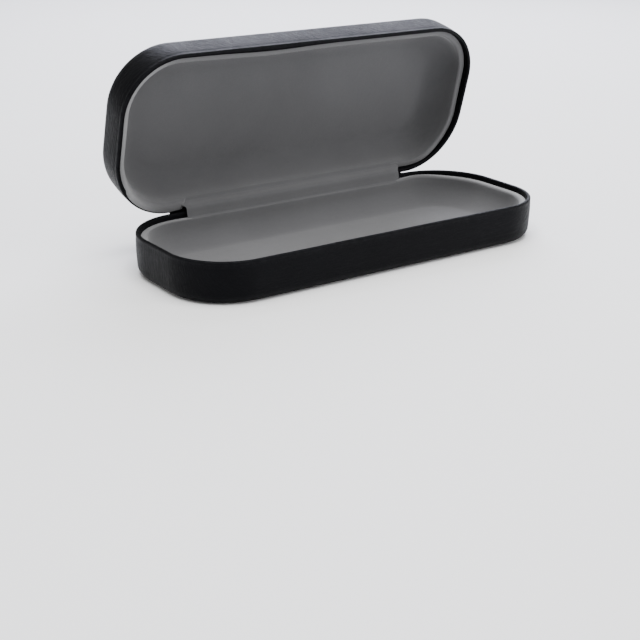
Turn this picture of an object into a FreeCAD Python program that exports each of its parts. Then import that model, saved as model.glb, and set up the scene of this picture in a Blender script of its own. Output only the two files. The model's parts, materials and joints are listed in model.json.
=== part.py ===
import FreeCAD, Part
import math
import os

# A slim clamshell eyeglasses case: two stamped steel shells, each covered outside in leatherette
# that turns in over the rim, and lined with a flocked formed tray. A pinned hinge runs along the
# back between two notches, with two bowed snap springs and a soft strip inside and outside it.
#
# Row frame: the origin is the middle of the base's resting face, X runs along the length,
# +Y points to the hinge and +Z up. The lid stands open at its stop.
# Each half is first drawn mouth up with its rim at z = 0. The hinge's own frame is (u, v): u runs
# from the pin towards the front and v up from it, both seen along the pin.

Vector = FreeCAD.Vector

# Overall sizes, in mm and degrees
LENGTH = 160.0
WIDTH = 64.0
FRONT_CORNER_R = 23.0
BACK_CORNER_R = 24.5
BASE_DEPTH = 15.4
LID_DEPTH = 16.3
BASE_EDGE_R = 3.5
LID_EDGE_R = 6.0
WALL_DRAFT = 1.75
RIM_GAP = 0.5
OPEN_ANGLE = 75.0

# Layers, from the outside in
LEATHER = 0.55
STEEL = 0.5
PAD = 1.0
LINER = 0.8

# Leatherette turned in over the rim, and trimmed round the hinge leaf
HEM_DEPTH = 6.0
HEM_CLEAR = 0.5
RIM_ROUND = 0.7

# Lining trays
LIP_DROP = 2.1
LIP_WIDTH = 2.2
LIP_CLEAR = 0.15
LIP_ROUND = 0.35
LINER_DRAFT = 4.0
BASE_FLOOR_R = 8.5
LID_FLOOR_R = 9.5
PAD_MARGIN = 1.0

# Hinge
HINGE_MARGIN = 7.05
NOTCH_DEPTH = 2.65
NOTCH_R = 1.5
LEAF = 0.5
LEAF_END_CLEAR = 2.4
LEAF_MARGIN = 2.0
PIN_R = 0.6
PIN_CLEAR = 0.05
KNUCKLES = 9
KNUCKLE_GAP = 0.4
KNUCKLE_RELIEF = 0.55
PIN_END = 0.4

# Rivets, on each leaf
RIVET_R = 0.9
RIVET_HEAD_R = 1.6
RIVET_HEAD = 0.5
RIVET_ROUND = 0.3
RIVET_XS = (-42.0, -16.0, 16.0, 42.0)
RIVET_DROP = 6.4

# Snap springs
SPRING = 0.3
SPRING_WIDTH = 5.0
SPRING_XS = {"snap_spring_left": -29.0, "snap_spring_right": 29.0}
SPRING_CLEAR = 0.25
SPRING_DROP = 4.8
SPRING_FOOT = 0.4
SPRING_BEND_R = 0.35
SPRING_BOW_R = 1.2
SLOT_CLEAR = 0.2

# Soft strips over the hinge
STRIP = 0.5
STRIP_OVERHANG = 1.0
STRIP_CLEAR = 0.3
STRIP_EDGE = 0.55
STRIP_FLAT = 0.75
STRIP_FOLD_R = 0.7
STRIP_CREST_R = 1.6
SPINE_OVERHANG = 6.6
SPINE_MARGIN = 2.5
SPINE_RISE = 2.2
SPINE_CREST = 2.25
SPINE_FOLD_R = 0.9
SPINE_CREST_R = 2.5
LID_SIDE_CLEAR = 0.1

# Worked out from the sizes above
ABOVE = 2.0
RIM = 2 * LEATHER + STEEL
METAL_INSIDE = LEATHER + STEEL
KNUCKLE_R = PIN_R + LEAF
PIVOT_DEPTH = METAL_INSIDE + LEAF - KNUCKLE_R
PIVOT_Y = WIDTH / 2 - PIVOT_DEPTH
PIVOT_Z = BASE_DEPTH + RIM_GAP / 2
NOTCH_HALF = LENGTH / 2 - BACK_CORNER_R - HINGE_MARGIN
LEAF_HALF = NOTCH_HALF - LEAF_END_CLEAR
LINER_OUTSIDE = RIM + LIP_CLEAR + LIP_WIDTH - LINER
LIP_RELIEF = METAL_INSIDE + LEAF + SPRING_CLEAR + SPRING + SPRING_CLEAR
TOLERANCE = 1e-6


def lean(degrees=WALL_DRAFT):
    """How far a wall leans in for each mm of height."""
    return math.tan(math.radians(degrees))


def outline(z, inset):
    """The plan outline at height z, that far inside the rim's outer line."""
    a = LENGTH / 2 - inset
    b = WIDTH / 2 - inset
    front = FRONT_CORNER_R - inset
    back = BACK_CORNER_R - inset
    corners = [(1, -1, front, -90), (1, 1, back, 0), (-1, 1, back, 90), (-1, -1, front, 180)]
    arcs = []
    for side, end, r, start in corners:
        centre = Vector(side * (a - r), end * (b - r), z)
        points = []
        for turn in (0, 45, 90):
            angle = math.radians(start + turn)
            points.append(centre + Vector(r * math.cos(angle), r * math.sin(angle), 0))
        arcs.append(points)
    edges = []
    for points, following in zip(arcs, arcs[1:] + arcs[:1]):
        edges.append(Part.Arc(*points).toShape())
        edges.append(Part.LineSegment(points[2], following[0]).toShape())
    return Part.Wire(edges)


def level_edges(solid, z):
    """The edges that lie wholly at height z."""
    return [e for e in solid.Edges if all(abs(v.Z - z) < TOLERANCE for v in e.Vertexes)]


def form(inset, low, high, edge_r=0.0, draft=WALL_DRAFT):
    """The filled outline between two heights, leaning in below z = 0, its lower edge rounded."""
    wires = [outline(z, inset - z * lean(draft)) for z in (low, high)]
    solid = Part.makeLoft(wires, True, True)
    if edge_r > 0:
        solid = solid.makeFillet(edge_r, level_edges(solid, low))
    return solid


def back_box(half, reach_in, low):
    """A box across the back wall: half as long each way, from a depth inside it to past it."""
    y = WIDTH / 2 - reach_in
    corner = Vector(-half, y, low)
    return Part.makeBox(2 * half, reach_in + ABOVE, ABOVE - low, corner)


def notch(grow):
    """The hinge notch in the rim's back wall, with rounded lower corners."""
    low = -NOTCH_DEPTH - grow
    box = back_box(NOTCH_HALF + grow, 2 * RIM, low)
    corners = []
    for e in level_edges(box, low):
        if abs(e.Vertexes[0].X - e.Vertexes[1].X) < TOLERANCE:
            corners.append(e)
    return box.makeFillet(NOTCH_R + grow, corners)


def wall_normal():
    """The direction straight in through the back wall."""
    draft = math.radians(WALL_DRAFT)
    return Vector(0, -math.cos(draft), math.sin(draft))


def wall_point(x, z, inset):
    """A point in the back wall at a height, that far in from its outer face."""
    return Vector(x, WIDTH / 2 - inset + z * lean(), z)


def rivet(x):
    """One rivet: its shank fills the shell and leaf, and its domed head is inside."""
    grip = (STEEL + LEAF) * math.cos(math.radians(WALL_DRAFT))
    start = wall_point(x, -RIVET_DROP, LEATHER)
    shank = Part.makeCylinder(RIVET_R, grip, start, wall_normal())
    seat = start + wall_normal() * grip
    head = Part.makeCylinder(RIVET_HEAD_R, RIVET_HEAD, seat, wall_normal())
    rim = max(head.Edges, key=lambda e: e.CenterOfMass.dot(wall_normal()))
    return shank.fuse(head.makeFillet(RIVET_ROUND, [rim])).removeSplitter()


def rivet_holes():
    """Holes through shell and leaf, which the shanks fill."""
    start = 2 * LEATHER
    holes = []
    for x in RIVET_XS:
        point = wall_point(x, -RIVET_DROP, LEATHER) - wall_normal() * start
        holes.append(Part.makeCylinder(RIVET_R, start + 2 * (STEEL + LEAF), point, wall_normal()))
    return Part.makeCompound(holes)


def steel_shell(depth, edge_r):
    """The stamped shell, notched for the hinge and pierced for the rivets."""
    outside = form(LEATHER, -depth + LEATHER, -LEATHER, edge_r - LEATHER)
    floor = -depth + METAL_INSIDE
    inside = form(METAL_INSIDE, floor, ABOVE, edge_r - METAL_INSIDE)
    return outside.cut(inside).cut(notch(LEATHER)), floor


def leaf_bay():
    """The stretch inside the back wall that is kept free of the hem, for the hinge leaf."""
    half = LEAF_HALF + HEM_CLEAR
    low = -HEM_DEPTH - ABOVE
    corners = [(low, METAL_INSIDE), (ABOVE, METAL_INSIDE), (ABOVE, 2 * RIM), (low, 2 * RIM)]
    points = [wall_point(-half, z, inset) for z, inset in corners]
    return Part.Face(Part.makePolygon(points + points[:1])).extrude(Vector(2 * half, 0, 0))


def cover(depth, edge_r, shell, floor):
    """The leatherette: all over the outside, over the rim and down inside it as a hem."""
    skin = form(0, -depth, 0, edge_r)
    skin = skin.cut(form(METAL_INSIDE, floor, -HEM_DEPTH, edge_r - METAL_INSIDE))
    skin = skin.cut(form(RIM, -HEM_DEPTH - ABOVE, ABOVE))
    skin = skin.makeFillet(RIM_ROUND, level_edges(skin, 0))
    return skin.cut(notch(0)).cut(leaf_bay()).cut(shell)


def liner(floor, floor_r):
    """The flocked tray: a deep rounded floor and a flat lip that stops short of the hem."""
    low = floor + PAD
    lip = -LIP_DROP
    tray = form(LINER_OUTSIDE, low, lip, floor_r + LINER, LINER_DRAFT)
    flange = form(RIM + LIP_CLEAR, lip - LINER, lip)
    cavity = form(LINER_OUTSIDE + LINER, low + LINER, ABOVE, floor_r, LINER_DRAFT)
    tray = tray.fuse(flange).removeSplitter().cut(cavity)
    tray = tray.makeFillet(LIP_ROUND, level_edges(tray, lip))
    return tray.cut(back_box(NOTCH_HALF, LIP_RELIEF, lip - 2 * LINER))


def pad(floor, floor_r):
    """The foam sheet on the shell's flat floor, under the flat of the tray."""
    inset = LINER_OUTSIDE - (floor + PAD) * lean(LINER_DRAFT) + floor_r + LINER + PAD_MARGIN
    return Part.Face(outline(floor, inset)).extrude(Vector(0, 0, PAD))


def knuckle_spans(first):
    """The stretches of every second knuckle along the pin, starting from one of them."""
    pitch = 2 * LEAF_HALF / KNUCKLES
    starts = [-LEAF_HALF + pitch * i for i in range(first, KNUCKLES, 2)]
    return [(s + KNUCKLE_GAP / 2, s + pitch - KNUCKLE_GAP / 2) for s in starts]


def leaf(depth, edge_r, first, bore_r):
    """A hinge leaf against the back wall, its top edge cut into tabs that curl round the pin."""
    low = -(depth - edge_r - LEAF_MARGIN)
    high = RIM_GAP / 2
    relief = high - KNUCKLE_R - KNUCKLE_RELIEF
    corners = [(low, METAL_INSIDE), (high, METAL_INSIDE)]
    corners += [(high, METAL_INSIDE + LEAF), (low, METAL_INSIDE + LEAF)]
    points = [wall_point(-LEAF_HALF, z, inset) for z, inset in corners]
    plate = Part.Face(Part.makePolygon(points + points[:1])).extrude(Vector(2 * LEAF_HALF, 0, 0))
    plate = plate.cut(back_box(LEAF_HALF, 2 * RIM, relief))
    along = Vector(1, 0, 0)
    for start, end in knuckle_spans(first):
        pin_point = Vector(start, PIVOT_Y, high)
        curl = Part.makeCylinder(KNUCKLE_R, end - start, pin_point, along)
        corners = [(relief, METAL_INSIDE), (high, METAL_INSIDE)]
        corners += [(high, METAL_INSIDE + LEAF), (relief, METAL_INSIDE + LEAF)]
        points = [wall_point(start, z, inset) for z, inset in corners]
        tab = Part.Face(Part.makePolygon(points + points[:1])).extrude(Vector(end - start, 0, 0))
        plate = plate.fuse(tab).fuse(curl)
    bore = Part.makeCylinder(bore_r, 2 * LENGTH, Vector(-LENGTH, PIVOT_Y, high), along)
    plate = plate.removeSplitter().cut(bore).cut(rivet_holes())
    slot_half = SPRING / 2 + SLOT_CLEAR
    for x in SPRING_XS.values():
        corner = Vector(x - SPRING_WIDTH / 2 - SLOT_CLEAR, 0, high - SPRING_DROP - slot_half)
        slot = Part.makeBox(SPRING_WIDTH + 2 * SLOT_CLEAR, WIDTH, 2 * slot_half, corner)
        plate = plate.cut(slot)
    return plate


def across(point):
    """A point's mirror image across the plane that halves the opening angle."""
    turn = math.radians(OPEN_ANGLE)
    u, v = point
    return (u * math.cos(turn) + v * math.sin(turn), u * math.sin(turn) - v * math.cos(turn))


def crest(distance):
    """A point on that plane, in front of the pin, or behind it if the distance is negative."""
    half = math.radians(OPEN_ANGLE / 2)
    return (distance * math.cos(half), distance * math.sin(half))


def ribbon(points, radii, thickness, low_x, high_x):
    """A strip that is bent along a path in (u, v), each inner point rounded to its radius."""
    places = [Vector(low_x, PIVOT_Y - u, PIVOT_Z + v) for u, v in points]
    edges = []
    last = places[0]
    for before, corner, after, r in zip(places, places[1:], places[2:], radii):
        way_in = (before - corner).normalize()
        way_out = (after - corner).normalize()
        half = way_in.getAngle(way_out) / 2
        run = r / math.tan(half)
        middle = corner + (way_in + way_out).normalize() * (r / math.sin(half) - r)
        start = corner + way_in * run
        end = corner + way_out * run
        edges.append(Part.LineSegment(last, start).toShape())
        edges.append(Part.Arc(start, middle, end).toShape())
        last = end
    edges.append(Part.LineSegment(last, places[-1]).toShape())
    side = (places[1] - places[0]).cross(Vector(1, 0, 0)).normalize() * (thickness / 2)
    width = Vector(high_x - low_x, 0, 0)
    start = places[0]
    section = [start - side, start + side, start + side + width, start - side + width]
    profile = Part.makePolygon(section + section[:1])
    return Part.Wire(edges).makePipeShell([profile], True, False)


def snap_spring(x):
    """A bowed steel strip round the knuckles, with a foot hooked into each leaf's slot."""
    bow = KNUCKLE_R + SPRING_CLEAR + SPRING / 2
    drop = -SPRING_DROP
    leaf_face = METAL_INSIDE + LEAF - PIVOT_DEPTH + (SPRING_DROP + ABOVE) * lean()
    knee = (leaf_face + SPRING_CLEAR / 2 + SPRING / 2, drop)
    foot = (leaf_face - SPRING_FOOT, drop)
    shoulder = (bow, -KNUCKLE_R)
    side = [foot, knee, shoulder]
    top = crest(bow + SPRING_CLEAR)
    points = side + [top] + [across(p) for p in reversed(side)]
    radii = [SPRING_BEND_R, SPRING_BOW_R, SPRING_BOW_R, SPRING_BOW_R, SPRING_BEND_R]
    return ribbon(points, radii, SPRING, x - SPRING_WIDTH / 2, x + SPRING_WIDTH / 2)


def inner_strip():
    """The flocked strip from the base's lip, over the knuckles and springs, to the lid's lip."""
    rise = KNUCKLE_R + 2 * SPRING_CLEAR + SPRING + STRIP_CLEAR + STRIP / 2
    lip_u = LINER_OUTSIDE + LINER - PIVOT_DEPTH - STRIP_EDGE
    lip_v = -(LIP_DROP + RIM_GAP / 2) + STRIP / 2
    top = crest(rise)

    def side(lift):
        return [(lip_u, lip_v + lift), (lip_u - STRIP_FLAT, lip_v + lift)]

    points = side(0) + [top] + [across(p) for p in reversed(side(LID_SIDE_CLEAR))]
    radii = [STRIP_FOLD_R, STRIP_CREST_R, STRIP_FOLD_R]
    half = NOTCH_HALF + STRIP_OVERHANG
    return ribbon(points, radii, STRIP, -half, half)


def spine():
    """The outer leatherette strip, glued to both back walls and slack over the knuckles."""
    half = NOTCH_HALF + SPINE_OVERHANG
    off = STRIP / 2 / math.cos(math.radians(WALL_DRAFT))

    def side(depth, edge_r, lift):
        reach = depth - edge_r - SPINE_MARGIN
        points = []
        for drop in (reach, SPINE_RISE):
            face = -PIVOT_DEPTH + drop * lean()
            points.append((face - off - lift, -drop - RIM_GAP / 2))
        return points

    base_side = side(BASE_DEPTH, BASE_EDGE_R, 0)
    lid_side = [across(p) for p in side(LID_DEPTH, LID_EDGE_R, LID_SIDE_CLEAR)]
    points = base_side + [crest(-SPINE_CREST)] + lid_side[::-1]
    radii = [SPINE_FOLD_R, SPINE_CREST_R, SPINE_FOLD_R]
    return ribbon(points, radii, STRIP, -half, half)


def half_case(depth, edge_r, floor_r, first_knuckle, bore_r):
    """The layers and leaf of one half, by name, mouth up with the rim at z = 0."""
    shell, floor = steel_shell(depth, edge_r)
    return {
        "cover": cover(depth, edge_r, shell, floor),
        "shell": shell.cut(rivet_holes()),
        "pad": pad(floor, floor_r),
        "liner": liner(floor, floor_r),
        "hinge_leaf": leaf(depth, edge_r, first_knuckle, bore_r),
        "hinge_rivets": Part.makeCompound([rivet(x) for x in RIVET_XS]),
    }


def as_base(shape):
    """Sets a half down on its outer face."""
    placed = shape.copy()
    placed.translate(Vector(0, 0, BASE_DEPTH))
    return placed


def as_lid(shape):
    """Turns a half mouth down, closes it on the base and swings it open."""
    placed = shape.mirror(Vector(0, 0, 0), Vector(0, 0, 1))
    placed.translate(Vector(0, 0, BASE_DEPTH + RIM_GAP))
    placed.rotate(Vector(0, PIVOT_Y, PIVOT_Z), Vector(1, 0, 0), -OPEN_ANGLE)
    return placed


def build():
    """Every sub-part, by node name."""
    base = half_case(BASE_DEPTH, BASE_EDGE_R, BASE_FLOOR_R, 0, PIN_R)
    lid = half_case(LID_DEPTH, LID_EDGE_R, LID_FLOOR_R, 1, PIN_R + PIN_CLEAR)
    parts = {}
    for name, shape in base.items():
        parts["base_" + name] = as_base(shape)
    for name, shape in lid.items():
        parts["lid_" + name] = as_lid(shape)
    pin_start = Vector(-LEAF_HALF - PIN_END, PIVOT_Y, PIVOT_Z)
    pin_length = 2 * (LEAF_HALF + PIN_END)
    parts["hinge_pin"] = Part.makeCylinder(PIN_R, pin_length, pin_start, Vector(1, 0, 0))
    for name, x in SPRING_XS.items():
        parts[name] = snap_spring(x)
    parts["inner_hinge_strip"] = inner_strip()
    parts["spine_cover"] = spine()
    return parts


os.makedirs("parts", exist_ok=True)
for node, shape in build().items():
    shape.exportStep("parts/" + node + ".step")
    print(node, len(shape.Solids), round(shape.Volume, 2), shape.isValid())
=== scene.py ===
import bmesh
import bpy
import json
import math
import numpy as np
from mathutils import Matrix, Vector


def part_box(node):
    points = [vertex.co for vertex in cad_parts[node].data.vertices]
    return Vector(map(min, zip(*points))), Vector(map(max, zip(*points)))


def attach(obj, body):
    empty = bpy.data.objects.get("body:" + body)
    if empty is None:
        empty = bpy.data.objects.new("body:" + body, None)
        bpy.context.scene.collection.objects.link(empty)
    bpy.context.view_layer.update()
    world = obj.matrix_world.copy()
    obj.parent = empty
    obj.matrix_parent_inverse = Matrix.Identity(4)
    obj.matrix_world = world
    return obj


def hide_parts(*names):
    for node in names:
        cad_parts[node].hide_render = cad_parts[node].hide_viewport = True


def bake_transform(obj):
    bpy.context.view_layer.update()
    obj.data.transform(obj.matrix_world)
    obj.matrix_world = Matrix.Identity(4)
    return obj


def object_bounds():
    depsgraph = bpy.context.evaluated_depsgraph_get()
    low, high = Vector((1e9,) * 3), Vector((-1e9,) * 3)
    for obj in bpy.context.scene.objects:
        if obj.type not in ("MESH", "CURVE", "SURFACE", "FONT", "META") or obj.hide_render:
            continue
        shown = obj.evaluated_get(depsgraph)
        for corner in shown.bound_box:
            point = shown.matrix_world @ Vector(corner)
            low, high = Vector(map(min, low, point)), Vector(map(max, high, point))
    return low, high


# Looks of a slim clamshell eyeglasses case: leatherette over two steel shells, flocked trays in
# both halves, a flocked strip over the hinge inside and a leatherette spine outside.
# Sizes are in mm and degrees, and every mesh is scaled to metres last. Each half is drawn mouth
# up with its rim at z = 0, as a set of rings round the plan outline, and then set in its place.

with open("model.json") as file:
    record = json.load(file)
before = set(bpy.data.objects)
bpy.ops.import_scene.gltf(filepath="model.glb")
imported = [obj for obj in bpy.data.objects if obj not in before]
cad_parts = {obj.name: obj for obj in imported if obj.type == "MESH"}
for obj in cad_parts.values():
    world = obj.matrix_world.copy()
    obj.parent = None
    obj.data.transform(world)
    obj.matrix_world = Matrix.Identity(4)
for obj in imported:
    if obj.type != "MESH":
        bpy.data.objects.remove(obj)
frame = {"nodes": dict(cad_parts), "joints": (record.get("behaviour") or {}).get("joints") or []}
cad_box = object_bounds()
MM = 0.001

# Read from the frame
base_low, base_high = [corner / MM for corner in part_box("base_cover")]
LENGTH = base_high.x - base_low.x
WIDTH = base_high.y - base_low.y
BASE_DEPTH = base_high.z
hinge = frame["joints"][0]
PIVOT = Vector(hinge["pos_m"]) / MM
OPEN_ANGLE = -hinge["range_deg"][0]
RIM_GAP = 2 * (PIVOT.z - BASE_DEPTH)
PIVOT_DEPTH = WIDTH / 2 - PIVOT.y
STRIP_OVERHANG = 1.0
NOTCH_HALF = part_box("inner_hinge_strip")[1].x / MM - STRIP_OVERHANG
SPINE_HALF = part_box("spine_cover")[1].x / MM
LEAF_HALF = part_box("base_hinge_leaf")[1].x / MM

# Shape of the two halves
FRONT_CORNER_R = 23.0
BACK_CORNER_R = 24.5
BASE_EDGE_R = 3.5
LID_EDGE_R = 6.0
WALL_DRAFT = 1.75
LEATHER = 0.55
STEEL = 0.5
PAD = 1.0
LINER = 0.8
GAP = 0.02
RIM = 2 * LEATHER + STEEL
METAL_INSIDE = LEATHER + STEEL
HEM_DEPTH = 6.0
NOTCH_DEPTH = 2.65
NOTCH_R = 1.5
BAY_MARGIN = 0.5
LIP_DROP = 2.1
LIP_WIDTH = 2.2
LIP_CLEAR = 0.15
LIP_ROUND = 0.45
LIP_RELIEF = 2.35
LINER_DRAFT = 4.0
BASE_FLOOR_R = 8.5
LID_FLOOR_R = 9.5
LINER_OUTSIDE = RIM + LIP_CLEAR + LIP_WIDTH - LINER
PAD_MARGIN = 1.0
RIM_ROLL = 0.75
RIM_SQUARENESS = 0.85

# Springs, and the strips inside and outside the hinge
KNUCKLE_R = 1.1
LEAF = 0.5
WALL_ABOVE = 2.0
SPRING = 0.3
SPRING_WIDTH = 5.0
SPRING_CLEAR = 0.25
SPRING_DROP = 4.8
SPRING_FOOT = 0.4
SPRING_BEND_R = 0.35
SPRING_BOW_R = 1.2
STRIP = 0.5
STRIP_CLEAR = 0.3
STRIP_WRAP = 1.1
STRIP_FLAT = 1.0
STRIP_TUCK = 0.04
STRIP_FOLD_R = 1.0
STRIP_CREST_R = 1.6
STRIP_FEATHER = 1.6
STRIP_FLARE = 2.2
SPINE_MARGIN = 2.5
SPINE_RISE = 2.2
SPINE_CREST = 2.25
SPINE_FOLD_R = 0.9
SPINE_CREST_R = 2.5
SPINE_FEATHER = 1.2
LID_SIDE_CLEAR = 0.1

# Hand work in the leather and lining
BASE_GRAIN = 0.0
LID_GRAIN = -62.0
CREASE_DROP = 1.45
CREASE_WIDTH = 0.28
CREASE_DEPTH = 0.035
PLEATS = 9
PLEAT_DEPTH = 0.14
BOW_X = -20.0
BOW_HALF = 18.0
HEM_BOW = 0.7
LIP_BOW = 0.75
OVERLAP_RISE = 0.12
OVERLAP_INSET = 0.72
OVERLAP_THICK = 0.24
HEM_SINK = 0.55
WALL_CROWN = 0.14
STRIP_PAST_LEFT = 0.55
STRIP_PAST_RIGHT = 1.1

# Spacing of mesh points
STEP = 1.5
FINE_STEP = 0.16
ARC_STEPS = 24
FILL_STEP = 2.4
FILL_OFFSET = 18.5
FILL_RINGS = 8
EDGE_STEPS = 12
RIM_STEPS = 14
LIP_STEPS = 7
PATH_STEP = 0.22
STRIP_STEP = 1.4
SPINE_STEP = 1.6
SPRING_STEP = 0.5
SHARP_ANGLE = 48

# Studio and camera, in metres, watts and degrees
FLOOR_REACH = 4.0
FLOOR_DROP = 0.0002
SURROUND = 0.62
CAMERA_AZIMUTH = -35.4
CAMERA_ELEVATION = 18.4
CAMERA_ROLL = 0.6
CAMERA_DISTANCE = 0.5245
CAMERA_TARGET = Vector((0.0021, 0.0097, -0.0492))
CAMERA_LENS = 75.1
CAMERA_SHIFT = -0.0937


def lean(degrees):
    return math.tan(math.radians(degrees))


def smooth(low, high, value):
    """0 below low, 1 above high, and a smooth rise between them."""
    t = np.clip((value - low) / (high - low), 0, 1)
    return t * t * (3 - 2 * t)


def ripple(x, y, size):
    """A gentle, repeatable unevenness between about -1 and 1, with bumps about that size."""
    k = 2 * math.pi / size
    a = np.sin(k * (0.61 * x + 0.37 * y) + 1.3) + np.sin(k * (-0.43 * x + 0.71 * y) + 4.1)
    b = np.sin(k * (0.97 * x - 0.52 * y) * 0.63 + 2.2)
    return (a + b) / 3


# The plan outline: its points, outward normals and how far each is round a corner

def straight_xs():
    """x of the points along the right half of a long side, close together at the notch."""
    end = LENGTH / 2 - BACK_CORNER_R
    near = np.arange(NOTCH_HALF - NOTCH_R - 0.6, NOTCH_HALF + 1.0, FINE_STEP)
    even = np.linspace(0, end, round(end / STEP) + 1)
    apart = (even < near[0] - STEP / 3) | (even > near[-1] + STEP / 3)
    return np.sort(np.concatenate([even[apart], near]))


def make_outline():
    """The rim's outer line, anticlockwise from the middle of the back."""
    xs = straight_xs()
    points, normals, corner = [], [], []

    def add(x, y, nx, ny, bend):
        points.append((x, y))
        normals.append((nx, ny))
        corner.append(bend)

    def arc(side, end, r, start):
        cx, cy = side * (LENGTH / 2 - r), end * (WIDTH / 2 - r)
        for i in range(1, ARC_STEPS):
            turn = math.radians(start + 90 * i / ARC_STEPS)
            nx, ny = math.cos(turn), math.sin(turn)
            add(cx + r * nx, cy + r * ny, nx, ny, i / ARC_STEPS)

    def side_line(side, ys):
        for y in ys:
            add(side * LENGTH / 2, y, side, 0, 0)

    b = WIDTH / 2
    ys = np.linspace(b - BACK_CORNER_R, FRONT_CORNER_R - b, 9)
    for x in xs:
        add(-x, b, 0, 1, 0)
    arc(-1, 1, BACK_CORNER_R, 90)
    side_line(-1, ys)
    arc(-1, -1, FRONT_CORNER_R, 180)
    add(FRONT_CORNER_R - LENGTH / 2, -b, 0, -1, 0)
    for x in np.concatenate([-xs[:0:-1], xs]):
        add(x, -b, 0, -1, 0)
    add(LENGTH / 2 - FRONT_CORNER_R, -b, 0, -1, 0)
    arc(1, -1, FRONT_CORNER_R, 270)
    side_line(1, ys[::-1])
    arc(1, 1, BACK_CORNER_R, 0)
    for x in xs[:0:-1]:
        add(x, b, 0, 1, 0)
    return np.array(points), np.array(normals), np.array(corner)


OUTLINE, NORMALS, CORNER = make_outline()
XS, YS = OUTLINE[:, 0], OUTLINE[:, 1]
AT_BACK = YS > WIDTH / 2 - 0.01
AT_FRONT = YS < 0.01 - WIDTH / 2
MEDIAL = np.column_stack([np.clip(XS, (WIDTH - LENGTH) / 2, (LENGTH - WIDTH) / 2), 0 * XS])
BOW = np.where(AT_FRONT, np.exp(-((XS - BOW_X) / BOW_HALF) ** 2), 0.0)
PLEAT = (CORNER > 0) * (0.5 - 0.5 * np.cos(2 * math.pi * PLEATS * CORNER)) ** 2


def notch_height():
    """Height of the rim's top: 0, and down to the notch's floor along the hinge."""
    d = np.abs(XS)
    inner = NOTCH_HALF - NOTCH_R
    round_part = np.sqrt(np.clip(NOTCH_R ** 2 - np.clip(d - inner, 0, NOTCH_R) ** 2, 0, None))
    height = -NOTCH_DEPTH + NOTCH_R - round_part
    height = height * (1 - smooth(NOTCH_HALF - 0.1, NOTCH_HALF + 0.35, d))
    return np.where(AT_BACK, height, 0.0)


def near(x, y, reach):
    """1 at a place on the outline, falling to 0 over a distance."""
    return np.exp(-((XS - x) ** 2 + (YS - y) ** 2) / reach ** 2)


TOP = notch_height()
NONE = 0 * XS
# The lid's lining laps over the rim at its back left corner, and neither lining sits quite level
LAPPED = smooth(NOTCH_HALF + 0.1, NOTCH_HALF + 1.6, -XS) * smooth(13, 25, YS)
LAPPED = LAPPED * (0.84 + 0.16 * smooth(NOTCH_HALF + 2, NOTCH_HALF + 9, -XS))
BASE_LIP_RISE = 0.8 * near(60, 30, 11)
LID_LIP_RISE = 0.9 * near(66, 29, 8) - 0.6 * near(79, -8, 14) + (LIP_DROP + OVERLAP_RISE) * LAPPED
IN_BAY = AT_BACK * (1 - smooth(LEAF_HALF + BAY_MARGIN, LEAF_HALF + BAY_MARGIN + 0.8, np.abs(XS)))
IN_NOTCH = AT_BACK * (1 - smooth(NOTCH_HALF - 0.2, NOTCH_HALF + 0.3, np.abs(XS)))
# How much softer than elsewhere the edge of each lip is, and how much painted light its flock gets: a paler
# tint standing in for the lit lip, strongest at the base's right end and the lid's left end, and little in
# the notch
BASE_LIP_SOFT = 0.75 * smooth(20, 60, XS) + 0.3 * IN_NOTCH
LID_LIP_SOFT = 0.5 * smooth(45, 70, XS) + 0.45 * IN_NOTCH
BASE_LIP_PAINTED_LIGHT = (1 - 0.9 * IN_NOTCH) * (0.35 + 0.65 * smooth(60, 78, XS))
LID_LIP_PAINTED_LIGHT = (1 - 0.9 * IN_NOTCH) * (0.25 + 0.75 * smooth(56, 74, -XS))


class Rings:
    """Rings of points round the outline, from the middle of one skin to the middle of another."""

    def __init__(self):
        self.points = []
        self.flat = []
        self.wear_and_lip_light = []

    def add(self, inset, z, wear_and_lip_light=0.0):
        """One ring at an inset and height. wear_and_lip_light is how rubbed a leather edge is, and on a
        flock lip it is painted light, a paler tint standing in for light on the lip.
        """
        inset = inset + 0 * XS
        self.points.append(np.column_stack([OUTLINE - NORMALS * inset[:, None], z + 0 * XS]))
        self.flat.append(None)
        self.wear_and_lip_light.append(wear_and_lip_light + 0 * XS)

    def fill(self, start, height, inwards):
        """Rings over a floor, from an inset to the middle line, or the other way round."""
        rings = []
        for inset in np.arange(start + FILL_STEP, FILL_OFFSET, FILL_STEP):
            rings.append(OUTLINE - NORMALS * inset)
        edge = OUTLINE - NORMALS * FILL_OFFSET
        for i in range(FILL_RINGS + 1):
            t = i / FILL_RINGS
            rings.append(edge * (1 - t) + MEDIAL * t)
        for plan in rings if inwards else rings[::-1]:
            z = height(plan[:, 0], plan[:, 1])
            self.points.append(np.column_stack([plan, z]))
            self.flat.append(plan)
            self.wear_and_lip_light.append(0 * XS)

    def arc(self, inset, z, r, start, end, steps):
        """Rings along an arc in the section. 0 degrees points in and 90 up."""
        for i in range(steps + 1):
            turn = math.radians(start + (end - start) * i / steps)
            self.add(inset + r * math.cos(turn), z + r * math.sin(turn))

    def unrolled(self):
        """Where each point was in the flat sheet: the floor as it is, and the wall laid out round it."""
        plans = []
        laid = None
        for i, points in enumerate(self.points):
            if self.flat[i] is not None:
                plans.append(self.flat[i])
                laid = self.flat[i]
                continue
            if laid is None:
                laid = points[:, :2]
            step = np.linalg.norm(points - self.points[i - 1], axis=1) if i else 0 * XS
            laid = laid + NORMALS * step[:, None]
            plans.append(laid)
        return plans


def as_base(co):
    """Sets a half down on its outer face."""
    return co + np.array([0, 0, BASE_DEPTH])


def as_lid(co):
    """Turns a half mouth down, closes it on the base and swings it open."""
    turn = math.radians(-OPEN_ANGLE)
    y = co[:, 1] - PIVOT.y
    z = BASE_DEPTH + RIM_GAP - co[:, 2] - PIVOT.z
    opened = [co[:, 0], PIVOT.y + y * math.cos(turn) - z * math.sin(turn)]
    opened.append(PIVOT.z + y * math.sin(turn) + z * math.cos(turn))
    return np.column_stack(opened)


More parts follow.
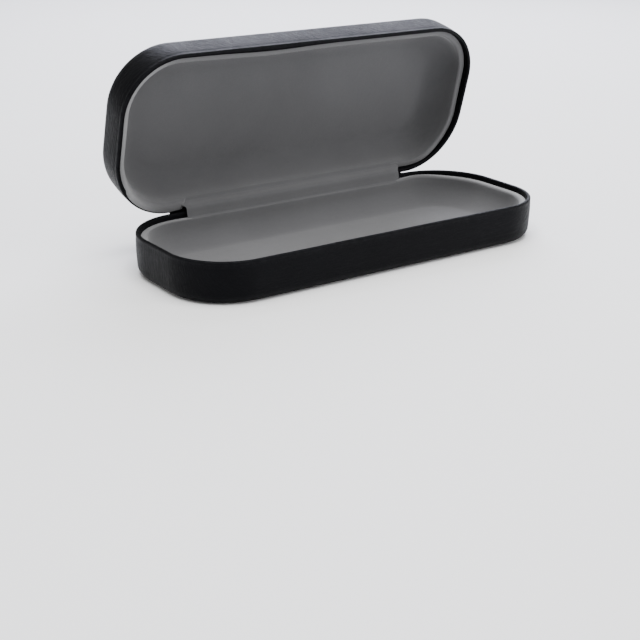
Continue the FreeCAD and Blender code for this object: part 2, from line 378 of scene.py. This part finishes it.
def finish_mesh(name, co, faces, uvs=None, wear_and_lip_light=None, merge=(), flip=False):
    """A closed mesh object in metres, with its flat-sheet coordinates and its edge wear, which on the flock
    trays is painted light on the lips.
    """
    mesh = bpy.data.meshes.new(name)
    mesh.from_pydata((co * MM).tolist(), [], faces)
    if uvs is not None:
        layer = mesh.uv_layers.new(name="sheet")
        corners = np.zeros(len(mesh.loops), dtype=np.int32)
        mesh.loops.foreach_get("vertex_index", corners)
        layer.data.foreach_set("uv", (uvs[corners] * MM).ravel())
    if wear_and_lip_light is not None:
        attribute = mesh.attributes.new("wear_and_lip_light", "FLOAT", "POINT")
        attribute.data.foreach_set("value", wear_and_lip_light.astype(np.float32))
    work = bmesh.new()
    work.from_mesh(mesh)
    work.verts.ensure_lookup_table()
    for group in merge:
        bmesh.ops.remove_doubles(work, verts=[work.verts[i] for i in group], dist=1e-7)
        work.verts.ensure_lookup_table()
    if flip:
        bmesh.ops.reverse_faces(work, faces=work.faces)
    work.to_mesh(mesh)
    work.free()
    mesh.shade_smooth()
    mesh.set_sharp_from_angle(angle=math.radians(SHARP_ANGLE))
    piece = bpy.data.objects.new(name, mesh)
    bpy.context.scene.collection.objects.link(piece)
    return piece


def skin(name, rings, as_half):
    """The closed mesh through a set of rings, as the base or the lid. Their grains differ."""
    count = len(XS)
    total = len(rings.points)
    co = as_half(np.concatenate(rings.points))
    grain = math.radians(LID_GRAIN if as_half is as_lid else BASE_GRAIN)
    along = np.array([math.cos(grain), math.sin(grain)])
    sheet = np.concatenate(rings.unrolled())
    uvs = np.column_stack([sheet @ along, sheet @ np.array([-along[1], along[0]])])
    wear_and_lip_light = np.concatenate(rings.wear_and_lip_light)
    faces = []
    for i in range(total - 1):
        for j in range(count):
            k = (j + 1) % count
            faces.append((i * count + j, i * count + k, (i + 1) * count + k, (i + 1) * count + j))
    ends = (range((total - 1) * count, total * count), range(count))
    return finish_mesh(name, co, faces, uvs, wear_and_lip_light, ends, as_half is as_lid)


# Leatherette shells

def leather(name, depth, edge_r, as_half, bow, lapped):
    """The cover: over the outside, round the rim, down inside as a hem, and back along the steel."""
    rings = Rings()
    draft = math.radians(WALL_DRAFT)
    slope = lean(WALL_DRAFT)
    low = -depth
    centre_z = low + edge_r
    centre = edge_r / math.cos(draft) - centre_z * slope
    rings.fill(centre, lambda x, y: low + 0 * x, inwards=False)
    rings.arc(centre, centre_z, edge_r, 270, 180 + WALL_DRAFT, EDGE_STEPS)
    edge_wear = np.interp(range(EDGE_STEPS + 1), [0, 4, EDGE_STEPS], [0.35, 1, 0])
    for i, wear_and_lip_light in enumerate(edge_wear, -len(edge_wear)):
        rings.wear_and_lip_light[i] = wear_and_lip_light + 0 * XS
    wall_low = centre_z - edge_r * math.sin(draft)
    for drop in np.concatenate([np.linspace(0.97, 0.28, 11), [0.22, 0.17]]):
        z = TOP - RIM_ROLL + (wall_low - TOP + RIM_ROLL) * drop
        rings.add(-z * slope - WALL_CROWN * math.sin(math.pi * drop), z)
    for drop in np.linspace(2.1, 0.85, 11):
        crease = CREASE_DEPTH * math.exp(-((drop - CREASE_DROP) / CREASE_WIDTH) ** 2)
        z = TOP - drop
        rings.add(-z * slope + crease, z, 0.3 + 0.5 * (drop < 1.2))
    inner = RIM + HEM_BOW * bow - (RIM - METAL_INSIDE + GAP) * IN_BAY
    outer = -(TOP - RIM_ROLL) * slope
    for i in range(RIM_STEPS + 1):
        turn = math.pi * i / RIM_STEPS
        inwards = -np.sign(math.cos(turn)) * abs(math.cos(turn)) ** RIM_SQUARENESS
        up = math.sin(turn) ** RIM_SQUARENESS
        inset = (inner + outer) / 2 + (inner - outer) / 2 * inwards
        wear_and_lip_light = 0.2 + 0.8 * math.exp(-((turn - 1.0) / 0.6) ** 2)
        sink = HEM_SINK * lapped * smooth(-0.3, 0.5, inwards)
        rings.add(inset, TOP - RIM_ROLL + RIM_ROLL * up - sink * up + 0.03 * ripple(XS, YS, 23), wear_and_lip_light)
    low_hem = -HEM_DEPTH * (1 - IN_BAY) + (TOP - RIM_ROLL - GAP) * IN_BAY
    for t in np.linspace(0.08, 1, 9):
        z = (TOP - RIM_ROLL) * (1 - t) + low_hem * t
        fold = PLEAT_DEPTH * PLEAT * math.sin(math.pi * min(1, 2.5 * t) / 2)
        rings.add(inner + fold * (1 - IN_BAY) - 0.12 * bow * t, z)
    inside = METAL_INSIDE + GAP - 0.06 * IN_BAY
    rings.add((inner + inside) / 2, low_hem - 0.03)
    top_inside = TOP - LEATHER + GAP - 0.22 * IN_BAY
    for t in (0, 0.5, 1):
        rings.add(inside, low_hem * (1 - t) + top_inside * t)
    skin_inset = LEATHER - GAP
    rings.add(skin_inset - top_inside * slope, top_inside)
    floor = low + skin_inset
    inner_r = edge_r - skin_inset
    for t in np.linspace(0.15, 0.97, 6):
        z = top_inside * (1 - t) + wall_low * t
        rings.add(skin_inset - z * slope, z)
    rings.arc(centre, centre_z, inner_r, 180 + WALL_DRAFT, 270, 6)
    rings.fill(centre, lambda x, y: floor + 0 * x, inwards=True)
    return skin(name, rings, as_half)


# Flocked trays

def tray(name, depth, floor_r, as_half, bow, lapped, rise, soft, lip_painted_light):
    """The lining: a deep rounded tray with a soft lip, and its underside over the foam."""
    rings = Rings()
    draft = math.radians(LINER_DRAFT)
    slope = lean(LINER_DRAFT)
    under = -depth + METAL_INSIDE + PAD
    floor = under + LINER
    lip = rise - LIP_DROP
    lip_r = LIP_ROUND + 1.2 * lapped + soft
    flange = LINER + (OVERLAP_THICK - LINER) * lapped

    def inner_wall(z):
        return LINER_OUTSIDE + LINER - z * slope

    centre_z = floor + floor_r
    centre = LINER_OUTSIDE + LINER - centre_z * slope + floor_r / math.cos(draft)

    def floor_height(x, y):
        return floor + 0.05 + 0.05 * ripple(x, y, 41) + 0.03 * ripple(y, x, 17)

    rings.fill(centre, floor_height, inwards=False)
    rings.arc(centre, centre_z, floor_r, 270, 180 + LINER_DRAFT, 16)
    wall_low = centre_z - floor_r * math.sin(draft)
    lip_wave = 0.06 * ripple(XS, YS, 19) + LIP_BOW * bow
    for t in np.linspace(0.15, 1, 8):
        z = wall_low * (1 - t) + (lip - lip_r) * t
        rings.add(inner_wall(z) + lip_wave * t * t, z)
    edge = inner_wall(lip - lip_r) + lip_wave
    sag = 0.05 * ripple(YS, XS, 27)
    # Painted light: the lip's rounding and top get lip_painted_light, a paler flock tint standing in for
    # light caught by the lip
    for i in range(1, LIP_STEPS + 1):
        turn = math.radians(90 * i / LIP_STEPS)
        z = lip - lip_r * (1 - math.sin(turn)) + sag
        rings.add(edge - lip_r * (1 - math.cos(turn)), z, lip_painted_light * (i / LIP_STEPS) ** 1.5)
    outer = RIM + LIP_CLEAR + HEM_BOW * bow + (LIP_RELIEF - RIM - LIP_CLEAR) * IN_NOTCH
    outer = outer + (OVERLAP_INSET - outer) * lapped
    top_edge = edge - lip_r
    corner = flange / 4
    for t in (0.25, 0.5, 0.75):
        swell = 0.06 * math.sin(math.pi * t)
        rings.add(top_edge * (1 - t) + (outer + corner) * t, lip + swell + sag, lip_painted_light)
    for i in range(5):
        turn = math.radians(90 * i / 4)
        z = lip - corner * (1 - math.cos(turn)) + sag
        rings.add(outer + corner * (1 - math.sin(turn)), z, lip_painted_light)
    rings.add(outer, lip - flange + 0.1)
    rings.add(outer + 0.1, lip - flange)
    wall_out = LINER_OUTSIDE - (lip - flange) * slope
    rings.add(wall_out - 0.1 + lip_wave, lip - flange)
    for t in np.linspace(0.05, 1, 5):
        z = (lip - flange) * (1 - t) + wall_low * t
        rings.add(LINER_OUTSIDE - z * slope + lip_wave * (1 - t), z)
    rings.arc(centre, centre_z, floor_r + LINER - GAP, 180 + LINER_DRAFT, 270, 8)
    rings.fill(centre, lambda x, y: under + GAP + 0 * x, inwards=True)
    return skin(name, rings, as_half)


# Foam under the trays

def foam(name, depth, floor_r, as_half):
    """A thin foam sheet with soft, slightly sunken edges."""
    rings = Rings()
    under = -depth + METAL_INSIDE
    inset = LINER_OUTSIDE - (under + PAD) * lean(LINER_DRAFT) + floor_r + LINER + PAD_MARGIN
    half = PAD / 2 - GAP
    middle = under + PAD / 2
    rings.fill(inset + half, lambda x, y: middle - half + 0 * x, inwards=False)
    rings.arc(inset + half, middle, half, 270, 90, 10)
    rings.fill(inset + half, lambda x, y: middle + half - 0.03 + 0.03 * ripple(x, y, 9), inwards=True)
    return skin(name, rings, as_half)


# Strips and springs round the hinge, drawn for the open lid. Their path is in (u, v): u from the pin to the
# front and v up from it, both seen along the pin.

def across(point):
    """A point's mirror image across the plane that halves the opening angle."""
    turn = math.radians(OPEN_ANGLE)
    u, v = point
    return (u * math.cos(turn) + v * math.sin(turn), u * math.sin(turn) - v * math.cos(turn))


def crest(distance):
    """A point on that plane, in front of the pin, or behind it if the distance is negative."""
    half = math.radians(OPEN_ANGLE / 2)
    return (distance * math.cos(half), distance * math.sin(half))


def rounded(points, radii, steps=10):
    """The path with each inner point rounded to its radius, as closely spaced points."""
    places = [np.array(p, float) for p in points]
    path = [places[0]]
    for before, corner, after, r in zip(places, places[1:], places[2:], radii):
        way_in = (before - corner) / np.linalg.norm(before - corner)
        way_out = (after - corner) / np.linalg.norm(after - corner)
        half = math.acos(np.clip(way_in @ way_out, -1, 1)) / 2
        middle = corner + (way_in + way_out) / np.linalg.norm(way_in + way_out) * (r / math.sin(half))
        start = corner + way_in * r / math.tan(half) - middle
        end = corner + way_out * r / math.tan(half) - middle
        for i in range(steps + 1):
            mixed = start * (1 - i / steps) + end * (i / steps)
            path.append(middle + mixed / np.linalg.norm(mixed) * r)
    path.append(places[-1])
    return np.array(path)


def spaced(path, step):
    """The path with evenly spaced points."""
    run = np.concatenate([[0], np.cumsum(np.linalg.norm(np.diff(path, axis=0), axis=1))])
    at = np.linspace(0, run[-1], max(2, round(run[-1] / step) + 1))
    return np.column_stack([np.interp(at, run, path[:, i]) for i in (0, 1)]), at


def rounded_off(from_edge, round_over, least):
    """Share of the full thickness at a distance from a strip's edge, as its edge rounds over."""
    short = (round_over - from_edge).clip(0) / round_over
    return np.sqrt(np.clip(1 - short ** 2, least, 1))


def ribbon(name, points, radii, thickness, low_x, high_x, step_x, relief=None, feather=0.0,
           shown=1, flare=0.0):
    """A closed strip along a path, its edges rounded over and thinned on the side that shows."""
    path, run = spaced(rounded(points, radii), PATH_STEP)
    along = np.gradient(path, axis=0)
    along /= np.linalg.norm(along, axis=1)[:, None]
    side = np.column_stack([along[:, 1], -along[:, 0]])
    round_over = thickness / 2
    ends = round_over * (1 - np.cos(np.linspace(0.15, 1, 4) * math.pi / 2))
    inner = np.linspace(low_x + round_over, high_x - round_over, round((high_x - low_x) / step_x) + 1)
    xs = np.concatenate([low_x + ends[:-1], inner, high_x - ends[:-1][::-1]])
    thin = rounded_off(np.minimum(xs - low_x, high_x - xs), round_over, 0)
    tip = rounded_off(np.minimum(run, run[-1] - run), round_over, 0.02)
    rows, uvs = [], []
    count = len(path)
    for x, t in zip(xs, thin):
        lift = relief(x, run, run[-1]) if relief else 0 * run
        half = thickness / 2 * np.maximum(t, 0.12) * tip
        cut = 0 * run
        if feather:
            from_edge = np.minimum(np.minimum(run, run[-1] - run) * 1.6, min(x - low_x, high_x - x))
            cut = 1.5 * half * (1 - smooth(0, feather, from_edge))
        upper = path + side * (half + lift - (cut if shown > 0 else 0))[:, None]
        lower = path - side * (half - lift - (cut if shown < 0 else 0))[:, None]
        loop = np.concatenate([upper, lower[::-1]])
        both = np.concatenate([run, run[::-1]])
        spread = flare * smooth(0.5, 0.85, both / run[-1]) * smooth(0.75, 1, abs(x) / high_x)
        spread = spread * math.copysign(1, x)
        rows.append(np.column_stack([x + spread, PIVOT.y - loop[:, 0], PIVOT.z + loop[:, 1]]))
        uvs.append(np.column_stack([x + spread, both]))
    wide = 2 * count
    faces = []
    for i in range(len(xs) - 1):
        for j in range(wide):
            k = (j + 1) % wide
            faces.append((i * wide + j, (i + 1) * wide + j, (i + 1) * wide + k, i * wide + k))
    last = (len(xs) - 1) * wide
    for j in range(count - 1):
        faces.append((j, j + 1, wide - 2 - j, wide - 1 - j))
        faces.append((last + j, last + wide - 1 - j, last + wide - 2 - j, last + j + 1))
    return finish_mesh(name, np.concatenate(rows), faces, np.concatenate(uvs))


def bend_with_lid(piece):
    """Bakes the piece's placement into its mesh; it does not follow the base or the lid."""
    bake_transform(piece)


def inner_strip():
    """The flocked strip inside, from lip to lip over the knuckles, creased where it folds."""
    wall_u = LINER_OUTSIDE + LINER - PIVOT_DEPTH + LIP_DROP * lean(LINER_DRAFT)
    lip_v = -(LIP_DROP + RIM_GAP / 2) + STRIP / 2
    side = [(wall_u - STRIP_TUCK, lip_v - STRIP_WRAP), (wall_u - STRIP_FLAT, lip_v)]
    top = crest(KNUCKLE_R + 2 * SPRING_CLEAR + SPRING + STRIP_CLEAR + STRIP / 2)
    points = side + [top] + [across(p) for p in reversed(side)]

    def creases(x, run, total):
        sway = 0.12 * math.sin(x * 0.11 + 0.6) + 0.07 * math.sin(x * 0.31)
        depth = 0 * run
        for place, amount in ((0.3, 0.03), (0.52, 0.06), (0.74, 0.03)):
            at = place * total + sway
            depth = depth - amount * np.exp(-((run - at) / 0.5) ** 2)
            depth = depth + amount * 0.4 * np.exp(-((run - at - 0.8) / 0.6) ** 2)
        return depth

    low_x = -NOTCH_HALF - STRIP_OVERHANG - STRIP_PAST_LEFT
    high_x = NOTCH_HALF + STRIP_OVERHANG + STRIP_PAST_RIGHT
    radii = [STRIP_FOLD_R, STRIP_CREST_R, STRIP_FOLD_R]
    piece = ribbon("inner_flock_strip", points, radii, STRIP, low_x, high_x, STRIP_STEP,
                   creases, STRIP_FEATHER, 1, STRIP_FLARE)
    bend_with_lid(piece)
    return piece


def spine():
    """The outer leatherette strip over the hinge, slack enough to close."""
    off = STRIP / 2 / math.cos(math.radians(WALL_DRAFT))

    def side(depth, edge_r, lift):
        drops = (depth - edge_r - SPINE_MARGIN, SPINE_RISE)
        return [(-PIVOT_DEPTH + d * lean(WALL_DRAFT) - off - lift, -d - RIM_GAP / 2) for d in drops]

    base_side = side(BASE_DEPTH, BASE_EDGE_R, 0)
    lid_side = [across(p) for p in side(LID_DEPTH, LID_EDGE_R, LID_SIDE_CLEAR)]
    points = base_side + [crest(-SPINE_CREST)] + lid_side[::-1]

    def wrinkles(x, run, total):
        middle = np.exp(-((run - total * 0.53) / 1.7) ** 2)
        return 0.05 * middle * np.sin(run * 5.2 + 0.5 * math.sin(x * 0.23))

    radii = [SPINE_FOLD_R, SPINE_CREST_R, SPINE_FOLD_R]
    piece = ribbon("spine_leather", points, radii, STRIP, -SPINE_HALF, SPINE_HALF, SPINE_STEP,
                   wrinkles, SPINE_FEATHER, -1)
    bend_with_lid(piece)
    return piece


def snap_spring(name, x):
    """A bowed steel strip round the knuckles, with a foot hooked into each leaf."""
    bow = KNUCKLE_R + SPRING_CLEAR + SPRING / 2
    leaf_face = METAL_INSIDE + LEAF - PIVOT_DEPTH + (SPRING_DROP + WALL_ABOVE) * lean(WALL_DRAFT)
    foot = (leaf_face - SPRING_FOOT, -SPRING_DROP)
    knee = (leaf_face + SPRING_CLEAR / 2 + SPRING / 2, -SPRING_DROP)
    side = [foot, knee, (bow, -KNUCKLE_R)]
    points = side + [crest(bow + SPRING_CLEAR)] + [across(p) for p in reversed(side)]
    radii = [SPRING_BEND_R, SPRING_BOW_R, SPRING_BOW_R, SPRING_BOW_R, SPRING_BEND_R]
    piece = ribbon(name, points, radii, SPRING, x - SPRING_WIDTH / 2, x + SPRING_WIDTH / 2, SPRING_STEP)
    bend_with_lid(piece)
    return piece


# Materials

class Tree:
    """Nodes of one material, made and joined by short calls."""

    def __init__(self, name):
        self.material = bpy.data.materials.new(name)
        self.material.use_nodes = True
        self.nodes = self.material.node_tree.nodes
        self.links = self.material.node_tree.links
        self.shader = self.nodes["Principled BSDF"]

    def add(self, kind, **inputs):
        node = self.nodes.new("ShaderNode" + kind)
        self.set(node, **inputs)
        return node

    def set(self, node, **inputs):
        for key, value in inputs.items():
            socket = node.inputs[key.replace("_", " ")]
            if isinstance(value, bpy.types.NodeSocket):
                self.links.new(value, socket)
            else:
                socket.default_value = value

    def mapping(self, vector, scale):
        return self.add("Mapping", Vector=vector, Scale=scale).outputs[0]

    def noise(self, vector, scale, detail=3.0, rough=0.55, twist=0.0):
        node = self.add("TexNoise", Vector=vector, Scale=scale, Detail=detail, Roughness=rough)
        node.inputs["Distortion"].default_value = twist
        return node.outputs["Factor" if "Factor" in node.outputs else "Fac"]

    def ramp(self, factor, stops):
        node = self.add("ValToRGB", Fac=factor)
        ramp = node.color_ramp
        while len(ramp.elements) < len(stops):
            ramp.elements.new(0.5)
        for element, (place, colour) in zip(ramp.elements, stops):
            element.position = place
            element.color = (*colour, 1)
        return node.outputs["Color"]

    def span(self, value, low, high, to_low, to_high):
        node = self.nodes.new("ShaderNodeMapRange")
        for socket, number in zip(node.inputs[1:5], (low, high, to_low, to_high)):
            socket.default_value = number
        self.links.new(value, node.inputs[0])
        return node.outputs[0]

    def math(self, operation, a, b=None):
        node = self.nodes.new("ShaderNodeMath")
        node.operation = operation
        for socket, value in zip(node.inputs, (a, b)):
            if isinstance(value, bpy.types.NodeSocket):
                self.links.new(value, socket)
            elif value is not None:
                socket.default_value = value
        return node.outputs[0]

    def mix(self, factor, a, b):
        node = self.nodes.new("ShaderNodeMix")
        node.data_type = "RGBA"
        for socket, value in zip((node.inputs[0], node.inputs[6], node.inputs[7]), (factor, a, b)):
            if isinstance(value, bpy.types.NodeSocket):
                self.links.new(value, socket)
            else:
                socket.default_value = value
        return node.outputs[2]

    def bump(self, height, distance, strength, normal=None):
        node = self.add("Bump", Height=height, Distance=distance, Strength=strength)
        if normal is not None:
            self.links.new(normal, node.inputs["Normal"])
        return node.outputs["Normal"]


def leatherette():
    """Black satin leatherette with a fine wavy grain along its own sheet and a shallow pebble."""
    t = Tree("black_leatherette")
    sheet = t.add("UVMap")
    sheet.uv_map = "sheet"
    sheet = sheet.outputs[0]
    worn_and_lit = t.add("Attribute")
    worn_and_lit.attribute_name = "wear_and_lip_light"
    waves = t.noise(t.mapping(sheet, (260, 1500, 1)), 1.0, 3.0, 0.6, 0.9)
    pebble = t.add("TexVoronoi", Vector=sheet, Scale=2100.0)
    fine = t.noise(sheet, 5200.0, 2.0)
    broad = t.noise(sheet, 38.0, 4.0)
    patch = t.noise(sheet, 420.0, 3.0)
    tone = t.ramp(broad, [(0.3, (0.0021, 0.0021, 0.0025)), (0.7, (0.0034, 0.0035, 0.0041))])
    rubbed = t.math("MULTIPLY", worn_and_lit.outputs["Fac"], t.span(patch, 0.35, 0.75, 0.0, 0.6))
    t.set(t.shader, Base_Color=t.mix(rubbed, tone, (0.012, 0.0122, 0.0135, 1)))
    satin = t.span(waves, 0.32, 0.68, 0.34, 0.53)
    t.set(t.shader, Roughness=t.math("ADD", satin, t.span(broad, 0.3, 0.7, -0.04, 0.05)))
    normal = t.bump(waves, 0.00019, 1.0)
    normal = t.bump(pebble.outputs["Distance"], 0.00005, 0.35, normal)
    normal = t.bump(fine, 0.00002, 0.3, normal)
    t.set(t.shader, Normal=normal)
    t.shader.inputs["Specular IOR Level"].default_value = 0.045
    t.shader.inputs["Specular Tint"].default_value = (0.9, 0.91, 1.0, 1)
    return t.material


def flock(name, dark, light, worn_and_lit):
    """Short grey flocking: fine fibres, patches brushed one way or another, and paler lips, which are
    painted light.
    """
    t = Tree(name)
    place = t.add("TexCoord").outputs["Object"]
    fibre = t.noise(place, 2600.0, 4.0, 0.7)
    tuft = t.noise(place, 520.0, 3.0, 0.6)
    brushed = t.noise(place, 26.0, 3.0, 0.5, 0.4)
    speck = t.math("ADD", t.math("MULTIPLY", fibre, 0.45), t.math("MULTIPLY", brushed, 0.55))
    # Painted light: the lips are mixed towards a paler grey, most at the base's right end and the lid's left
    # end
    lip_painted_light = t.add("Attribute")
    lip_painted_light.attribute_name = "wear_and_lip_light"
    lift = t.math("MULTIPLY", lip_painted_light.outputs["Fac"], t.span(tuft, 0.2, 0.8, 0.75, 1.0))
    tone = t.ramp(speck, [(0.32, dark), (0.68, light)])
    t.set(t.shader, Base_Color=t.mix(lift, tone, (*worn_and_lit, 1)))
    t.set(t.shader, Roughness=t.span(tuft, 0.3, 0.7, 0.86, 0.98))
    t.set(t.shader, Normal=t.bump(fibre, 0.00012, 0.5, t.bump(tuft, 0.0002, 0.25)))
    t.shader.inputs["Specular IOR Level"].default_value = 0.15
    t.shader.inputs["Sheen Weight"].default_value = 0.35
    t.shader.inputs["Sheen Roughness"].default_value = 0.5
    return t.material


def steel(name, dark, light, rough, stretch):
    """Sheet steel with drawn lines along the hinge and small dull spots."""
    t = Tree(name)
    place = t.add("TexCoord").outputs["Object"]
    lines = t.noise(t.mapping(place, stretch), 1.0, 4.0, 0.7)
    spots = t.noise(place, 160.0, 4.0, 0.6)
    t.set(t.shader, Base_Color=t.ramp(spots, [(0.3, dark), (0.7, light)]))
    drawn = t.span(lines, 0.3, 0.7, rough - 0.08, rough + 0.1)
    t.set(t.shader, Roughness=t.math("ADD", drawn, t.span(spots, 0.3, 0.7, -0.04, 0.08)))
    t.set(t.shader, Normal=t.bump(lines, 0.00003, 0.4))
    t.shader.inputs["Metallic"].default_value = 1.0
    return t.material


def foam_material():
    """Pale open-cell foam."""
    t = Tree("pale_foam")
    place = t.add("TexCoord").outputs["Object"]
    cells = t.add("TexVoronoi", Vector=place, Scale=1500.0).outputs["Distance"]
    aged = t.noise(place, 45.0, 3.0)
    t.set(t.shader, Base_Color=t.ramp(aged, [(0.3, (0.50, 0.50, 0.48)), (0.7, (0.62, 0.61, 0.58))]))
    t.set(t.shader, Roughness=t.span(cells, 0.0, 0.6, 0.98, 0.85))
    t.set(t.shader, Normal=t.bump(cells, 0.0003, 0.7))
    return t.material


def floor_material():
    """A plain pale studio surface."""
    t = Tree("studio_floor")
    place = t.add("TexCoord").outputs["Object"]
    mottle = t.noise(place, 3.0)
    t.set(t.shader, Base_Color=t.ramp(mottle, [(0.3, (0.93, 0.93, 0.932)), (0.7, (0.94, 0.94, 0.94))]))
    t.shader.inputs["Roughness"].default_value = 0.7
    return t.material


def dress(piece, material):
    piece.data.materials.clear()
    piece.data.materials.append(material)


def dress_nodes(names, material):
    for name in names:
        node = frame["nodes"][name]
        for holder in node.material_slots:
            holder.material = material
        if not node.material_slots:
            node.data.materials.append(material)


def lid_depth():
    """Depth of the lid's shell, read from its CAD node turned back to closed."""
    turn = Matrix.Rotation(math.radians(OPEN_ANGLE), 3, "X")
    heights = [(turn @ (v.co / MM - PIVOT)).z for v in frame["nodes"]["lid_cover"].data.vertices]
    return max(heights) - RIM_GAP / 2


LID_DEPTH = lid_depth()


def build_case():
    leather_black = leatherette()
    # The last colour is painted light, the paler grey put on the lips
    flock_grey = flock("grey_flock", (0.078, 0.078, 0.081), (0.102, 0.102, 0.106), (0.26, 0.26, 0.263))
    foam_pale = foam_material()
    shell_steel = steel("shell_steel_grey", (0.42, 0.43, 0.44), (0.52, 0.53, 0.54), 0.42, (60, 900, 900))
    hinge_steel = steel("hinge_steel_zinc", (0.58, 0.57, 0.54), (0.68, 0.67, 0.64), 0.34, (80, 1400, 1400))
    spring_steel = steel("spring_steel_bright", (0.55, 0.55, 0.56), (0.66, 0.66, 0.67), 0.24, (1800, 60, 60))
    halves = (
        ("base", BASE_DEPTH, BASE_EDGE_R, BASE_FLOOR_R, as_base, NONE, NONE),
        ("lid", LID_DEPTH, LID_EDGE_R, LID_FLOOR_R, as_lid, BOW, LAPPED),
    )
    # Rise, softness and painted light of each half's lip
    lips = {
        "base": (BASE_LIP_RISE, BASE_LIP_SOFT, BASE_LIP_PAINTED_LIGHT),
        "lid": (LID_LIP_RISE, LID_LIP_SOFT, LID_LIP_PAINTED_LIGHT),
    }
    for half, depth, edge_r, floor_r, as_half, bow, lapped in halves:
        piece = leather(half + "_leather", depth, edge_r, as_half, bow, lapped)
        dress(piece, leather_black)
        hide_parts(half + "_cover")
        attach(piece, half)
        piece = tray(half + "_flock_tray", depth, floor_r, as_half, bow, lapped, *lips[half])
        dress(piece, flock_grey)
        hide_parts(half + "_liner")
        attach(piece, half)
        piece = foam(half + "_foam_sheet", depth, floor_r, as_half)
        dress(piece, foam_pale)
        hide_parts(half + "_pad")
        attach(piece, half)
    piece = inner_strip()
    dress(piece, flock_grey)
    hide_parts("inner_hinge_strip")
    piece = spine()
    dress(piece, leather_black)
    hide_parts("spine_cover")
    for name in ("snap_spring_left", "snap_spring_right"):
        low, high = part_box(name)
        piece = snap_spring(name + "_blade", (low.x + high.x) / 2 / MM)
        dress(piece, spring_steel)
        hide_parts(name)
    dress_nodes(("base_shell", "lid_shell"), shell_steel)
    dress_nodes(["hinge_pin"], hinge_steel)
    for half in ("base", "lid"):
        dress_nodes((half + "_hinge_leaf", half + "_hinge_rivets"), hinge_steel)


def aim(thing, place, target, roll=0.0):
    """Puts a camera or light at a place, facing a target."""
    back = (place - target).normalized()
    thing.location = place
    thing.rotation_mode = "QUATERNION"
    facing = (-back).to_track_quat("-Z", "Y")
    thing.rotation_quaternion = facing @ Matrix.Rotation(roll, 3, "Z").to_quaternion()


def softbox(name, place, target, size, power, colour=(1, 1, 1)):
    """A soft rectangular light, aimed at a target. Its power is in watts."""
    light = bpy.data.lights.new(name, "AREA")
    light.shape = "RECTANGLE"
    light.size, light.size_y = size
    light.energy = power
    light.color = colour
    lamp = bpy.data.objects.new(name, light)
    bpy.context.scene.collection.objects.link(lamp)
    aim(lamp, Vector(place), Vector(target))


def studio():
    """A pale floor, a pale surround and soft boxes."""
    mesh = bpy.data.meshes.new("studio_floor")
    corners = [(x * FLOOR_REACH, y * FLOOR_REACH, 0) for x, y in ((-1, -1), (1, -1), (1, 1), (-1, 1))]
    mesh.from_pydata(corners, [], [(0, 1, 2, 3)])
    floor = bpy.data.objects.new("studio_floor", mesh)
    bpy.context.scene.collection.objects.link(floor)
    floor.location.z = -FLOOR_DROP
    mesh.materials.append(floor_material())
    world = bpy.data.worlds.new("studio")
    bpy.context.scene.world = world
    world.use_nodes = True
    surround = world.node_tree.nodes["Background"]
    surround.inputs["Color"].default_value = (1, 1, 1, 1)
    surround.inputs["Strength"].default_value = SURROUND
    softbox("top_box", (-0.1, -0.15, 1.0), (0.0, 0.0, 0.03), (0.8, 0.8), 17.0)
    softbox("rim_box", (0.48, 0.58, 0.52), (0.0, 0.03, 0.07), (0.8, 0.5), 11.0, (0.84, 0.86, 1.0))
    softbox("fill_box", (0.7, -0.7, 0.35), (0, 0.02, 0.04), (0.4, 0.4), 4.0)


def camera():
    """The camera, looking down at the open case from its left front."""
    azimuth = math.radians(CAMERA_AZIMUTH)
    elevation = math.radians(CAMERA_ELEVATION)
    low, high = cad_box
    target = (low + high) / 2 + CAMERA_TARGET
    level = math.cos(elevation)
    back = Vector((math.sin(azimuth) * level, -math.cos(azimuth) * level, math.sin(elevation)))
    data = bpy.data.cameras.new("photo_camera")
    data.sensor_width = 36.0
    data.lens = CAMERA_LENS
    data.shift_y = CAMERA_SHIFT
    eye = bpy.data.objects.new("photo_camera", data)
    bpy.context.scene.collection.objects.link(eye)
    aim(eye, target + back * CAMERA_DISTANCE, target, math.radians(CAMERA_ROLL))
    bpy.context.scene.camera = eye


build_case()
studio()
camera()
bpy.context.view_layer.update()
